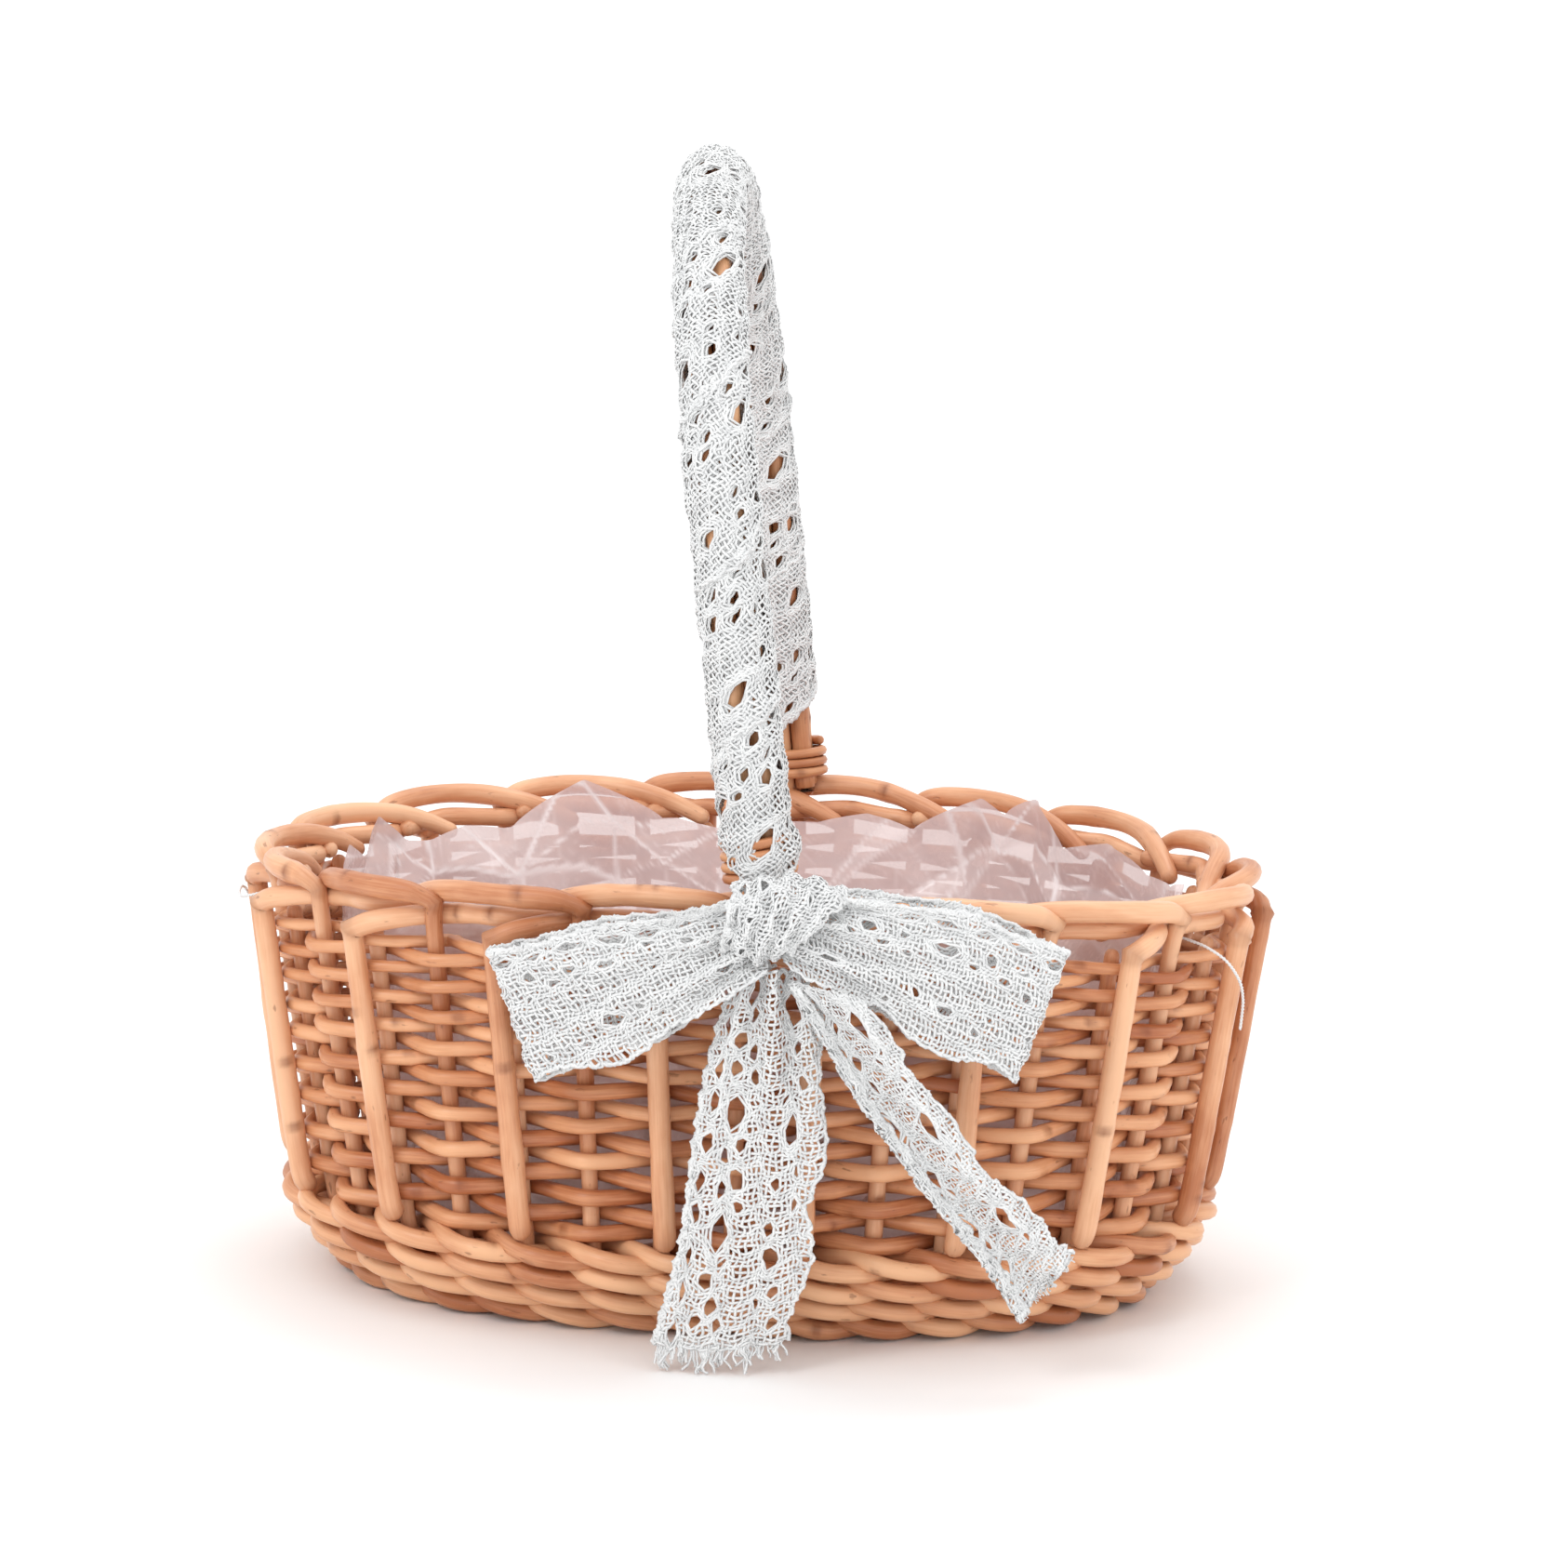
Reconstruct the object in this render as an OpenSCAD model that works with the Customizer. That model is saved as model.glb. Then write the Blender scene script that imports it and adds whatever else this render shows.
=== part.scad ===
// Flower girl basket: an oval basket of woven willow with a fixed arched handle,
// a clear film liner stitched in with thread, and a lace wrap and bow on the handle.
// The origin is the middle of the footprint on the table, +Z is up and the bow faces -Y.

/* [Wall] */
// Length of the rim, left to right, over the outer uprights
rim_l = 261; // [250:1:270]
// Depth of the rim, front to back, over the outer uprights
rim_w = 186; // [180:1:192]
// Length just above the foot, over the outer uprights
waist_l = 237; // [228:1:244]
// Depth just above the foot, over the outer uprights
waist_w = 164; // [158:1:170]
// Squareness of the oval: 2 is a plain ellipse
squareness = 2.3; // [2:0.1:2.5]
// Height at which the border starts, where the weaving stops
weave_top = 95; // [90:1:98]

/* [Foot and base] */
// Height of the four rows of waling that make the foot
foot_h = 24; // [22:1:26]
// How far the foot turns in at the table
foot_tuck = 18; // [14:1:19]
// Thickness of the woven base
base_t = 10; // [10:0.5:12]
// Diameter of the base sticks
base_stick_d = 3.8; // [3:0.1:3.9]

/* [Willow rods] */
// Diameter of the outer uprights
upright_d = 4.8; // [4:0.1:5]
// Diameter of the stakes that the wall is woven round
stake_d = 4; // [3:0.1:4.2]
// Thickness of a weaving rod, from inside to outside
weaver_t = 3; // [2.4:0.1:3.2]

/* [Handle] */
// Height of the top of the handle above the table
overall_h = 280; // [265:1:300]
// Distance between the two feet of the handle, front to back
handle_span = 163; // [160:1:166]
// Lean of the handle towards -X
handle_lean = 7.2; // [0:0.2:8]
// Diameter of each of the four handle rods
handle_rod_d = 5.4; // [4.6:0.1:5.4]
// Thickness of the lace wound round the handle
wrap_t = 1; // [0.8:0.1:1.4]

/* [Liner] */
// Height of the top edge of the film liner
liner_top = 102; // [92:1:103]
// Thickness of the liner, with its folds
liner_t = 1; // [0.8:0.1:1.4]

/* [Lace bow] */
// Thickness of each flattened loop of the bow
loop_t = 7; // [4:0.5:7]
// Thickness of each hanging tail
tail_t = 2.4; // [1.5:0.1:2.6]

/* [Hidden] */
bays = 18;
courses = 18;
wale_rows = 4;
bay = 1 / bays;
facet = 24;
knee = 1.03;
upright_sides = 12;

// Radial places, measured outwards from the line that the stakes stand on
wave = 3.9;
gap = 0.35;
outer_face = wave + weaver_t / 2 + gap + upright_d;
upright_off = outer_face - upright_d / 2;
behind_off = -4.7;
liner_off = -7.4;

// Heights of the border, which the bent-down rods make
inner_elbow_z = weave_top + 8.5;
outer_elbow_z = weave_top + 3;
border_z = weave_top + 13;
border_off = 4.6;

// Arc length along the oval, as a share of the whole, against the curve's own angle
arc_steps = 720;
arc_pts = [for (i = [0:arc_steps]) oval(rim_l / 2, rim_w / 2, i * 360 / arc_steps - 90)];
arc_len = [for (i = [0:arc_steps]) i == 0 ? 0 : norm(arc_pts[i] - arc_pts[i - 1])];
arc_sum = [for (i = 0, s = 0; i <= arc_steps; i = i + 1, s = s + (i <= arc_steps ? arc_len[i] : 0)) s];
arc_table = [for (i = [0:arc_steps]) [arc_sum[i] / arc_sum[arc_steps], i * 360 / arc_steps - 90]];

// Handle: its arch stands on a tilted plane through the middle of the rim
handle_foot = [5.5, 0, 112];
bundle_step = handle_rod_d / 2 + 0.05;
bundle_r = bundle_step * sqrt(2) + handle_rod_d / 2 + 0.15;
sleeve_r = bundle_r + wrap_t;
arch_r = handle_span / 2;
leg_l = (overall_h - handle_foot[2]) / cos(handle_lean) - arch_r - sleeve_r;
lashing_l = 10;
lashing_t = 1.6;
tang_d = 2.4;
tang_x = 4.6;
wrap_start_front = 11;
wrap_start_back = 14;

// Lace bow: the layers in front of the rim
knot_at = [9, -101, 109.5];
knot_r = 7;
loop_y = -99;
left_tail_y = -98.5;
right_tail_y = -105.5;
loop_sweep = 7;
tail_lean = 4;
left_loop_outline = [[-6, 112], [-41, 105], [-57, 94], [-42, 69], [-17, 77], [-6, 87]];
right_loop_outline = [[24, 116], [60, 106], [74, 100], [65, 68], [45, 75], [24, 93]];
left_tail_outline = [[2, 95], [-8, 52], [-16, 5], [15, 5], [21, 54], [20, 95]];
right_tail_outline = [[15, 93], [32, 65], [63, 30], [68, 16], [79, 37], [58, 55], [30, 90]];

// Threads that hold the liner to the border, each as the points that it passes through
thread_d = 0.8;
thread_sides = 8;
left_thread_route = [[-107, -14, 97], [-112, -15, 96.5], [-117, -16.5, 96], [-122.5, -17, 94.5],
    [-127, -14, 93], [-129.3, -8, 92.6], [-130, -1, 93], [-129.8, 5, 91], [-128.8, 9, 86], [-128, 10, 82]];
right_thread_route = [[99, -36, 97], [103, -39, 96.5], [106.4, -41.6, 96], [110.3, -44.4, 95],
    [115, -45.5, 92], [118.4, -43.5, 87], [119.6, -41, 82], [119.6, -39, 77], [119.4, -38.5, 74]];

function two_digits(i) = i < 10 ? str("0", i) : str(i);
function signed_pow(v, e) = sign(v) * pow(abs(v), e);
function oval(a, b, t) = [a * signed_pow(cos(t), 2 / squareness), b * signed_pow(sin(t), 2 / squareness)];
function angle_at(u) = lookup(u - floor(u), arc_table);

// How far the outer face of the wall lies inside the waist at a height in the foot
function tuck(z) = z < foot_h ? foot_tuck * pow(1 - z / foot_h, 1.6) : 0;
function flare(z) = max(0, z - foot_h) / (border_z - foot_h);
function half_l(z) = (waist_l + (rim_l - waist_l) * flare(z)) / 2 - tuck(z) - outer_face;
function half_w(z) = (waist_w + (rim_w - waist_w) * flare(z)) / 2 - tuck(z) - outer_face;

// A point of the wall: u runs once round from the front centre, off is outwards from the stakes
function wall_xy(u, z, off) =
    let (
        a = half_l(z),
        b = half_w(z),
        along = oval(a, b, angle_at(u + 0.002)) - oval(a, b, angle_at(u - 0.002))
    )
    oval(a, b, angle_at(u)) + off * [along[1], -along[0]] / norm(along);
function wall_pt(u, z, off) = let (p = wall_xy(u, z, off)) [p[0], p[1], z];

module bar(p, q, r) {
    d = q - p;
    translate(p)
        rotate([0, acos(d[2] / norm(d)), atan2(d[1], d[0])])
            cylinder(h = norm(d), r = r, $fn = facet);
}

// A round rod through a list of points, with rounded knees and ends a little thicker than itself
module rod(pts, d) {
    for (i = [0:len(pts) - 2]) {
        bar(pts[i], pts[i + 1], d / 2);
    }
    for (p = pts) {
        translate(p) sphere(d = d * knee, $fn = facet);
    }
}

// A flat ring between two closed outlines
module ring(outer, inner, z, h) {
    translate([0, 0, z])
        linear_extrude(height = h)
            difference() {
                polygon(outer);
                polygon(inner);
            }
}

module base_sticks_long() {
    color("burlywood")
        for (y = [-22, 0, 22]) {
            bar([-half_l(4) + 14, y, base_t * 0.29], [half_l(4) - 14, y, base_t * 0.29], base_stick_d / 2);
        }
}

module base_sticks_cross() {
    color("burlywood")
        for (x = [-50, -25, 0, 25, 50]) {
            bar([x, -half_w(4) + 16, base_t * 0.71], [x, half_w(4) - 16, base_t * 0.71], base_stick_d / 2);
        }
}

module base_weave() {
    clear = base_stick_d + 0.3;
    color("burlywood")
        difference() {
            linear_extrude(height = base_t)
                polygon([for (i = [0:71]) wall_xy(i / 72, 4, -3.4)]);
            for (y = [-22, 0, 22]) {
                bar([-half_l(4) + 13, y, base_t * 0.29], [half_l(4) - 13, y, base_t * 0.29], clear / 2);
            }
            for (x = [-50, -25, 0, 25, 50]) {
                bar([x, -half_w(4) + 15, base_t * 0.71], [x, half_w(4) - 15, base_t * 0.71], clear / 2);
            }
        }
}

module foot_wale(i) {
    row = foot_h / wale_rows;
    z = (i - 1) * row;
    color("peru")
        ring(
            [for (k = [0:89]) wall_xy(k / 90, z + row / 2, outer_face)],
            [for (k = [0:89]) wall_xy(k / 90, z + row, stake_d / 2 + 0.8)],
            z, row - 0.2
        );
}

// The part of a stake below the border, bent in at the foot
function stake_path(u, top) = [for (z = [4, 13, foot_h, top]) wall_pt(u, z, 0)];

module inner_stakes() {
    color("burlywood")
        for (k = [0:bays - 1]) {
            over = [wall_pt((k - 1.08) * bay, border_z, border_off)];
            rod(concat(stake_path(k * bay, inner_elbow_z), over), stake_d);
        }
}

module hidden_stakes() {
    color("burlywood")
        for (k = [0:bays - 1]) {
            rod(stake_path((k + 0.5) * bay, weave_top - 1), stake_d);
        }
}

// Each outer upright folds at the border and runs to the right, behind the next inner stake
module outer_upright(i) {
    u = (i - 0.5) * bay;
    z = outer_elbow_z;
    outwards = wall_pt(u, z, 1) - wall_pt(u, z, 0);
    pts = [
        wall_pt(u, foot_h + 3, upright_off),
        wall_pt(u, z - 4, upright_off),
        wall_pt(u + 0.03 * bay, z - 0.6, upright_off - 0.3),
        wall_pt(u + 0.14 * bay, z + 0.8, upright_off - 2.4),
        wall_pt(u + 0.46 * bay, z + 1.5, behind_off),
        wall_pt(u + 0.9 * bay, z + 2, behind_off)
    ];
    color("burlywood") swept(tube_rings(pts, upright_d, outwards, upright_sides));
}

// Courses get finer from the foot to the border
function course_share(i) = (i * 1.2 - 0.2 * i * i / courses) / courses;
function course_z(i) = foot_h + (weave_top - foot_h) * course_share(i);

// One course of weaving: odd courses pass outside the inner stakes, even ones inside
module wall_weaver(i) {
    z = course_z(i - 1);
    h = course_z(i) - z;
    turn = i % 2 == 1 ? 0 : 180;
    steps = bays * 8;
    line = [for (k = [0:steps - 1]) wave * cos(360 * k / 8 + turn)];
    color("sandybrown")
        ring(
            [for (k = [0:steps - 1]) wall_xy(k / steps, z + h / 2, line[k] + weaver_t / 2)],
            [for (k = [0:steps - 1]) wall_xy(k / steps, z + h / 2, line[k] - weaver_t / 2)],
            z, h - 0.15
        );
}

// Rings of points round a path, each square to the way between its neighbours.
// across is a direction that the path never takes.
function unit(v) = v / norm(v);
function tube_rings(pts, d, across, sides) = [
    for (i = [0:len(pts) - 1])
        let (
            t = unit(pts[min(i + 1, len(pts) - 1)] - pts[max(i - 1, 0)]),
            side = unit(cross(t, across)),
            up = cross(side, t)
        )
        [for (k = [0:sides - 1])
            pts[i] + d / 2 * (cos(360 * k / sides) * side - sin(360 * k / sides) * up)]
];

// A solid swept along a list of rings of points
module swept(rings) {
    n = len(rings[0]);
    m = len(rings);
    pts = [for (r = rings) each r];
    sides = [
        for (j = [0:m - 2], i = [0:n - 1])
            let (a = j * n + i, b = j * n + (i + 1) % n, c = a + n, d = b + n)
                each [[a, b, d], [a, d, c]]
    ];
    ends = [[for (i = [n - 1:-1:0]) i], [for (i = [0:n - 1]) (m - 1) * n + i]];
    polyhedron(points = pts, faces = concat(sides, ends), convexity = 6);
}

module liner() {
    n = 60;
    floor_z = base_t + 2;
    profile = [
        [floor_z, liner_off - 10], [floor_z + 12, liner_off - 1], [liner_top, liner_off],
        [liner_top, liner_off - liner_t], [floor_z + 12, liner_off - 1 - liner_t],
        [floor_z + liner_t, liner_off - 10 - liner_t]
    ];
    color("mistyrose", 0.5)
        swept([
            for (p = profile)
                [for (i = [n - 1:-1:0]) let (q = wall_xy(i / n, max(p[0], foot_h), p[1])) [q[0], q[1], p[0]]]
        ]);
}

module liner_thread(route) {
    color("white") swept(tube_rings(route, thread_d, [0, 0.95, 0.3], thread_sides));
}

module on_handle() {
    translate(handle_foot) rotate([0, -handle_lean, 0]) children();
}

module handle_rod(i) {
    x = i % 2 == 1 ? -bundle_step : bundle_step;
    r = i <= 2 ? arch_r + bundle_step : arch_r - bundle_step;
    color("tan") {
        on_handle() {
            for (side = [-1, 1]) {
                translate([x, side * r, 0]) cylinder(h = leg_l, d = handle_rod_d, $fn = facet);
            }
            translate([x, 0, leg_l])
                rotate([90, 0, 90])
                    rotate_extrude(angle = 180, $fn = 96)
                        translate([r, 0]) circle(d = handle_rod_d, $fn = facet);
        }
        if (i == 1) {
            for (side = [-1, 1]) {
                bar([tang_x, side * half_w(30), 30], handle_foot + [x + 0.5, side * (r - 0.5), 3], tang_d / 2);
            }
        }
    }
}

module sleeve(inner_r, outer_r, h) {
    difference() {
        cylinder(h = h, r = outer_r, $fn = 48);
        translate([0, 0, -1]) cylinder(h = h + 2, r = inner_r, $fn = 48);
    }
}

module handle_lashing(side) {
    color("peru")
        on_handle()
            translate([0, side * arch_r, 0.3])
                sleeve(bundle_r, bundle_r + lashing_t, lashing_l);
}

module handle_lace_wrap() {
    color("white")
        on_handle() {
            translate([0, -arch_r, wrap_start_front])
                sleeve(bundle_r, sleeve_r, leg_l - wrap_start_front);
            translate([0, arch_r, wrap_start_back])
                sleeve(bundle_r, sleeve_r, leg_l - wrap_start_back);
            translate([0, 0, leg_l])
                rotate([90, 0, 90])
                    rotate_extrude(angle = 180, $fn = 96)
                        translate([arch_r, 0])
                            difference() {
                                circle(r = sleeve_r, $fn = 48);
                                circle(r = bundle_r, $fn = 48);
                            }
        }
}

module bow_knot() {
    color("white")
        hull() {
            for (x = [-6, 6]) {
                translate(knot_at + [x, 0, 0]) sphere(r = knot_r, $fn = 28);
            }
        }
}

// A flat slab whose outline is drawn as seen from the front
module slab(outline, t) {
    rotate([90, 0, 0])
        linear_extrude(height = t, center = true)
            polygon(outline);
}

module bow_left_loop() {
    color("white") translate([0, loop_y, 0]) rotate([0, 0, -loop_sweep]) slab(left_loop_outline, loop_t);
}

module bow_right_loop() {
    color("white")
        translate([18, loop_y, 0])
            rotate([0, 0, loop_sweep])
                translate([-18, 0, 0])
                    slab(right_loop_outline, loop_t);
}

module bow_tail(outline, y, top) {
    color("white")
        translate([0, y, top])
            rotate([tail_lean, 0, 0])
                translate([0, 0, -top])
                    slab(outline, tail_t);
}

base_sticks_long();
base_sticks_cross();
base_weave();
for (i = [1:wale_rows]) foot_wale(i);
inner_stakes();
hidden_stakes();
for (i = [1:bays]) outer_upright(i);
for (i = [1:courses]) wall_weaver(i);
liner();
liner_thread(left_thread_route);  // liner_thread_left
liner_thread(right_thread_route);  // liner_thread_right
for (i = [1:4]) handle_rod(i);
handle_lashing(-1);  // handle_lashing_front
handle_lashing(1);  // handle_lashing_back
handle_lace_wrap();
bow_knot();
bow_left_loop();
bow_right_loop();
bow_tail(left_tail_outline, left_tail_y, 95);  // bow_left_tail
bow_tail(right_tail_outline, right_tail_y, 93);  // bow_right_tail
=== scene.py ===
"""Looks of the flower girl basket: woven willow, a lace-bound handle, a lace bow and a film liner."""

import math

import bpy
import numpy as np
from mathutils import Matrix, Vector
from mathutils.geometry import delaunay_2d_cdt
from numpy.random import default_rng


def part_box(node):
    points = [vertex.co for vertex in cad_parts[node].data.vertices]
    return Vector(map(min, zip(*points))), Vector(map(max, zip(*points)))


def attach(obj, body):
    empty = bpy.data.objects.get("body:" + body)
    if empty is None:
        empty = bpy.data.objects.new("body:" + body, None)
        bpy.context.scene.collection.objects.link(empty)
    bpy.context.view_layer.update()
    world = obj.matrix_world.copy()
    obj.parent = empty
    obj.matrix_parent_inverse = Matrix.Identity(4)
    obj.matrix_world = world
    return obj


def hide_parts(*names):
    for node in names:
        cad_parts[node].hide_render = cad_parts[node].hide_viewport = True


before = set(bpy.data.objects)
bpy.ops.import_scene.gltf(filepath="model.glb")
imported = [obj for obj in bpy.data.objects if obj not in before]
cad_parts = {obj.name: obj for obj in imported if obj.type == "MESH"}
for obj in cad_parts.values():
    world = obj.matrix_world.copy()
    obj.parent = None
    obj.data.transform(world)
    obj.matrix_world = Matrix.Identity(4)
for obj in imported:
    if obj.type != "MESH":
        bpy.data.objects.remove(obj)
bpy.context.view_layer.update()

MM = 0.001
BODY = "root"
TAU = 2 * math.pi


# ---- camera

def new_object(name, data):
    obj = bpy.data.objects.new(name, data)
    bpy.context.scene.collection.objects.link(obj)
    return obj


def make_camera():
    azimuth, distance, height = math.radians(3.0), 0.992, 0.2835
    pitch, yaw, roll = math.radians(9.15), math.radians(-0.35), math.radians(1.6)
    heading = azimuth + yaw
    forward = Vector((-math.sin(heading) * math.cos(pitch), math.cos(heading) * math.cos(pitch),
                      -math.sin(pitch)))
    right = forward.cross(Vector((0, 0, 1))).normalized()
    up = right.cross(forward)
    across = right * math.cos(roll) + up * math.sin(roll)
    upward = up * math.cos(roll) - right * math.sin(roll)
    data = bpy.data.cameras.new("camera")
    data.sensor_width = 36
    data.lens = 92.4
    data.clip_start = 0.02
    camera = new_object("camera", data)
    place = Matrix((across, upward, -forward)).transposed().to_4x4()
    place.translation = (distance * math.sin(azimuth), -distance * math.cos(azimuth), height)
    camera.matrix_world = place
    bpy.context.scene.camera = camera


make_camera()
bpy.context.scene.view_settings.view_transform = "Standard"


# ---- meshes made of swept strands

def unit(v):
    return v / np.maximum(np.linalg.norm(v, axis=-1, keepdims=True), 1e-9)


def smooth(x):
    x = np.clip(x, 0, 1)
    return x * x * (3 - 2 * x)


def spline(points, step):
    """A Catmull-Rom curve through the points, as points a step apart."""
    p = np.asarray(points, float)
    p = np.vstack([2 * p[0] - p[1], p, 2 * p[-1] - p[-2]])
    t = np.linspace(0, 1, 24, endpoint=False)[:, None]
    parts = []
    for a, b, c, d in zip(p, p[1:], p[2:], p[3:]):
        parts.append(0.5 * (2 * b + (c - a) * t + (2 * a - 5 * b + 4 * c - d) * t ** 2
                            + (3 * b - a - 3 * c + d) * t ** 3))
    parts.append(p[-2:-1])
    return even(np.vstack(parts), step)


def even(path, step):
    """The same polyline with its points an even step apart."""
    run = np.concatenate([[0], np.cumsum(np.linalg.norm(np.diff(path, axis=0), axis=1))])
    at = np.linspace(0, run[-1], max(2, int(round(run[-1] / step)) + 1))
    return np.column_stack([np.interp(at, run, path[:, i]) for i in range(path.shape[1])])


MITER_LIMIT = 1.3
SEED_SHIFT = (37.7, 11.3)  # how far apart two seeds lie in the texture


class Strands:
    """Collects swept tubes and turns them into one mesh. Lengths are in millimetres."""

    def __init__(self):
        self.co, self.loops, self.sizes = [], [], []
        self.rodco, self.tone, self.dark = [], [], []
        self.count = 0

    def sweep(self, path, radius, ref, tone=0.5, dark=0.0, sides=10, flat=1.0, seed=0, starts=(0,)):
        """Adds tubes along path. ref is each point's first cross axis. A tube begins at each of starts."""
        n = len(path)
        radius = np.broadcast_to(np.asarray(radius, float), (n,))
        ref = np.broadcast_to(np.asarray(ref, float), (n, 3))
        tone = np.broadcast_to(np.asarray(tone, float), (n,))
        first = np.zeros(n, bool)
        first[list(starts)] = True
        last = np.roll(first, -1)
        last[-1] = True
        ahead = unit(np.roll(path, -1, axis=0) - path)
        behind = np.roll(ahead, 1, axis=0)
        ahead[last] = behind[last]
        behind[first] = ahead[first]
        both = ahead + behind
        miter = np.clip(2 / np.maximum(np.linalg.norm(both, axis=1), 1e-6), 1, MITER_LIMIT)
        tangent = unit(both)
        normal = unit(ref - (ref * tangent).sum(1, keepdims=True) * tangent)
        side = np.cross(tangent, normal)
        angle = np.arange(sides) * TAU / sides
        c, s = np.cos(angle), np.sin(angle)
        r = (radius * miter)[:, None, None]
        spoke = flat * c[None, :, None] * normal[:, None] + s[None, :, None] * side[:, None]
        ring = path[:, None] + r * spoke
        step = np.linalg.norm(np.diff(path, axis=0, prepend=path[:1]), axis=1)
        step[first] = 0
        along = np.cumsum(step)
        rodco = np.stack([np.repeat(along[:, None], sides, 1), radius[:, None] * c + SEED_SHIFT[0] * seed,
                          radius[:, None] * s + SEED_SHIFT[1] * seed], axis=2)
        index = self.count + np.arange(n * sides).reshape(n, sides)
        here = index[:-1][~last[:-1]]
        there = index[1:][~last[:-1]]
        quads = np.stack([here, np.roll(here, -1, 1), np.roll(there, -1, 1), there], axis=2).ravel()
        self.loops.append(quads)
        self.sizes.append(np.full(len(quads) // 4, 4))
        ends = np.vstack([index[first][:, ::-1], index[last]])
        self.loops.append(ends.ravel())
        self.sizes.append(np.full(len(ends), sides))
        self.co.append(ring.reshape(-1, 3))
        self.rodco.append(rodco.reshape(-1, 3))
        self.tone.append(np.repeat(tone, sides))
        self.dark.append(np.broadcast_to(np.asarray(dark, float), (n, sides)).ravel())
        self.count += n * sides

    def piece(self, name, material, slot, *nodes):
        """Makes the object, which stands for the CAD nodes."""
        loops, sizes = np.concatenate(self.loops), np.concatenate(self.sizes)
        return mesh_piece(name, np.vstack(self.co), loops, sizes, material, slot, nodes,
                          rodco=np.vstack(self.rodco) * MM, tone=np.concatenate(self.tone),
                          dark=np.concatenate(self.dark))


def mesh_piece(name, co, loops, sizes, material, slot, nodes, **attributes):
    """Makes a smooth-shaded object from arrays in millimetres. It stands for the CAD nodes."""
    mesh = bpy.data.meshes.new(name)
    mesh.vertices.add(len(co))
    mesh.vertices.foreach_set("co", (co * MM).astype(np.float32).ravel())
    mesh.loops.add(len(loops))
    mesh.loops.foreach_set("vertex_index", loops.astype(np.int32))
    mesh.polygons.add(len(sizes))
    loop_starts = np.concatenate([[0], np.cumsum(sizes)[:-1]])
    mesh.polygons.foreach_set("loop_start", loop_starts.astype(np.int32))
    mesh.polygons.foreach_set("use_smooth", np.ones(len(sizes), bool))
    mesh.update(calc_edges=True)
    mesh.validate()
    for key, values in attributes.items():
        vector = values.ndim == 2
        layer = mesh.attributes.new(key, "FLOAT_VECTOR" if vector else "FLOAT", "POINT")
        layer.data.foreach_set("vector" if vector else "value", values.astype(np.float32).ravel())
    mesh.materials.append(material)
    obj = new_object(name, mesh)
    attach(obj, BODY)
    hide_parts(*nodes)
    return obj


# ---- materials

class Nodes:
    """A short way to write a material's node tree."""

    def __init__(self, name):
        self.material = bpy.data.materials.new(name)
        self.material.use_nodes = True
        self.tree = self.material.node_tree
        self.shader = self.tree.nodes["Principled BSDF"]

    def add(self, kind, inputs=None, **values):
        """Adds a node with these values, and feeds its inputs."""
        node = self.tree.nodes.new(kind)
        for key, value in values.items():
            setattr(node, key, value)
        for key, value in (inputs or {}).items():
            self.feed(value, node.inputs[key])
        return node

    def link(self, source, target):
        self.tree.links.new(source, target)

    def attribute(self, name, output="Fac"):
        return self.add("ShaderNodeAttribute", attribute_name=name).outputs[output]

    def feed(self, value, socket):
        """Links an output to the socket, or sets the socket's own number or colour."""
        if isinstance(value, bpy.types.NodeSocket):
            self.link(value, socket)
        else:
            socket.default_value = (*value, 1) if isinstance(value, tuple) else value

    def math(self, operation, a, b, clamp=False):
        return self.add("ShaderNodeMath", {0: a, 1: b}, operation=operation, use_clamp=clamp).outputs[0]

    def mix(self, factor, a, b):
        return self.add("ShaderNodeMix", {0: factor, 6: a, 7: b}, data_type="RGBA").outputs[2]

    def noise(self, coordinates, scale, detail=3, stretch=None, rough=0.5):
        if stretch:
            mapping = self.add("ShaderNodeMapping", {0: coordinates})
            mapping.inputs["Scale"].default_value = stretch
            coordinates = mapping.outputs[0]
        inputs = {"Vector": coordinates, "Scale": scale, "Detail": detail, "Roughness": rough}
        return self.add("ShaderNodeTexNoise", inputs).outputs[0]

    def ramp(self, factor, *stops):
        node = self.add("ShaderNodeValToRGB")
        elements = node.color_ramp.elements
        while len(elements) < len(stops):
            elements.new(0.5)
        for element, (place, value) in zip(elements, stops):
            element.position = place
            element.color = (*value, 1) if isinstance(value, tuple) else (value, value, value, 1)
        self.link(factor, node.inputs[0])
        return node.outputs[0]

    def bump(self, height, strength, distance):
        node = self.add("ShaderNodeBump", {"Strength": strength, "Distance": distance, "Height": height})
        self.link(node.outputs[0], self.shader.inputs["Normal"])

    def set(self, **values):
        for key, value in values.items():
            self.shader.inputs[key.replace("_", " ")].default_value = value


def srgb(r, g, b):
    return tuple((c / 255 / 12.92) if c < 11 else ((c / 255 + 0.055) / 1.055) ** 2.4 for c in (r, g, b))


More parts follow.
